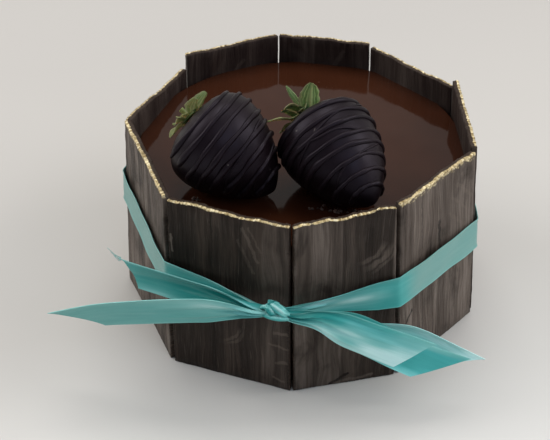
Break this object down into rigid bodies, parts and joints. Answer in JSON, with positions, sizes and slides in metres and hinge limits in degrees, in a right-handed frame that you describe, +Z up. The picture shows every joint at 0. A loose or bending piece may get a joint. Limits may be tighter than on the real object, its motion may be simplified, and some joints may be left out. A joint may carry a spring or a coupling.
{
  "type": "chocolate strawberry cake",
  "caption": "Round glazed chocolate cake ringed by upright chocolate panels, with dipped strawberries on top and a tied satin ribbon.",
  "frame": {"origin": "centre of the cake's flat underside", "axes": "+Z up, -Y towards the ribbon's knot, +X to the right as seen from the knot's side"},
  "size_m": [0.2015, 0.1946, 0.1296],
  "materials": {
    "ganache": "mirror-smooth poured dark chocolate ganache",
    "chocolate_panel": "dark tempered chocolate with pale vertical streaks and a gilded rim",
    "dipped_strawberry": "satin dark chocolate coating with drizzled strings",
    "strawberry_leaf": "matt green leaf with paler veins",
    "satin_ribbon": "teal satin with a soft sheen"
  },
  "bodies": {
    "root": {"cake": "ganache", "panel_1": "chocolate_panel", "panel_2": "chocolate_panel", "panel_3": "chocolate_panel", "panel_4": "chocolate_panel", "panel_5": "chocolate_panel", "panel_6": "chocolate_panel", "panel_7": "chocolate_panel", "panel_8": "chocolate_panel", "panel_9": "chocolate_panel", "strawberry_left": "dipped_strawberry", "strawberry_right": "dipped_strawberry", "calyx_left": "strawberry_leaf", "calyx_right": "strawberry_leaf", "ribbon_band": "satin_ribbon", "ribbon_knot": "satin_ribbon", "ribbon_tail_left_upper": "satin_ribbon", "ribbon_tail_left_lower": "satin_ribbon", "ribbon_tail_right_front": "satin_ribbon", "ribbon_tail_right_back": "satin_ribbon"}
  },
  "joints": []
}
